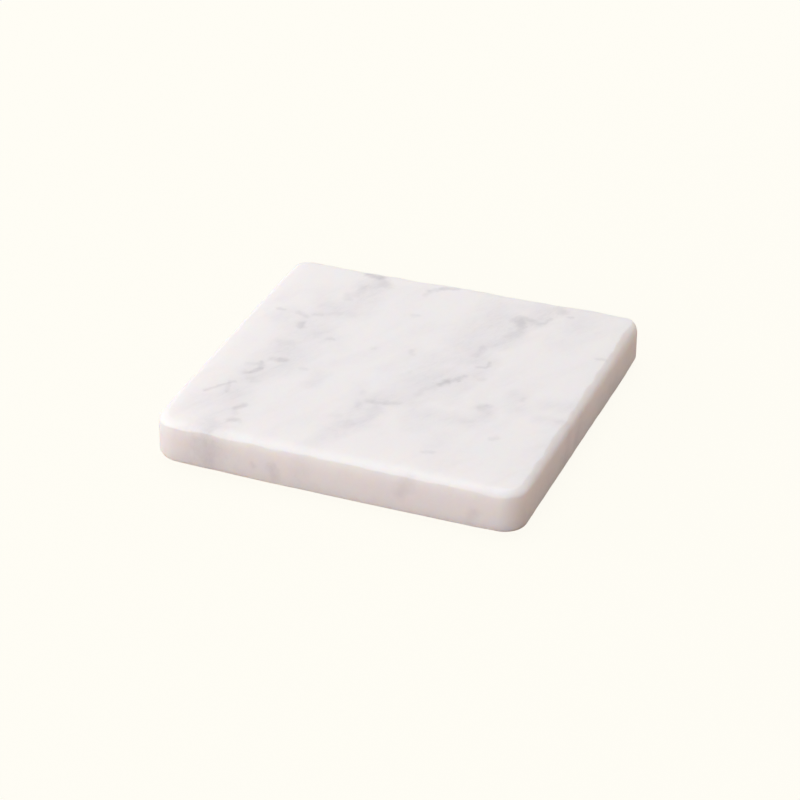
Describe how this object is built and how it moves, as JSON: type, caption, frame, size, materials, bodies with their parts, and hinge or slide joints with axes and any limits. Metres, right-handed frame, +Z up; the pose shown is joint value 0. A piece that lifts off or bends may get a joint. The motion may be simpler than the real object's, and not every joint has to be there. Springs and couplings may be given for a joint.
{
  "type": "drink coaster",
  "caption": "Square white marble drink coaster: a honed slab with rounded corners and eased edges, on small clear stick-on feet.",
  "frame": {"origin": "middle of the footprint, on the surface that the feet stand on", "axes": "+Z up through the slab's thickness; +X to the right and -Y to the front, square to the slab's sides"},
  "size_m": [0.1, 0.1, 0.0126],
  "materials": {
    "marble": "honed, soft satin sheen, pale grey veins",
    "clear_foot": "clear, slightly milky, smooth",
    "adhesive": "matte, tacky film"
  },
  "bodies": {
    "root": {"stone_slab": "marble", "foot_front_left": "clear_foot", "foot_front_right": "clear_foot", "foot_rear_left": "clear_foot", "foot_rear_right": "clear_foot", "adhesive_front_left": "adhesive", "adhesive_front_right": "adhesive", "adhesive_rear_left": "adhesive", "adhesive_rear_right": "adhesive"}
  },
  "joints": []
}
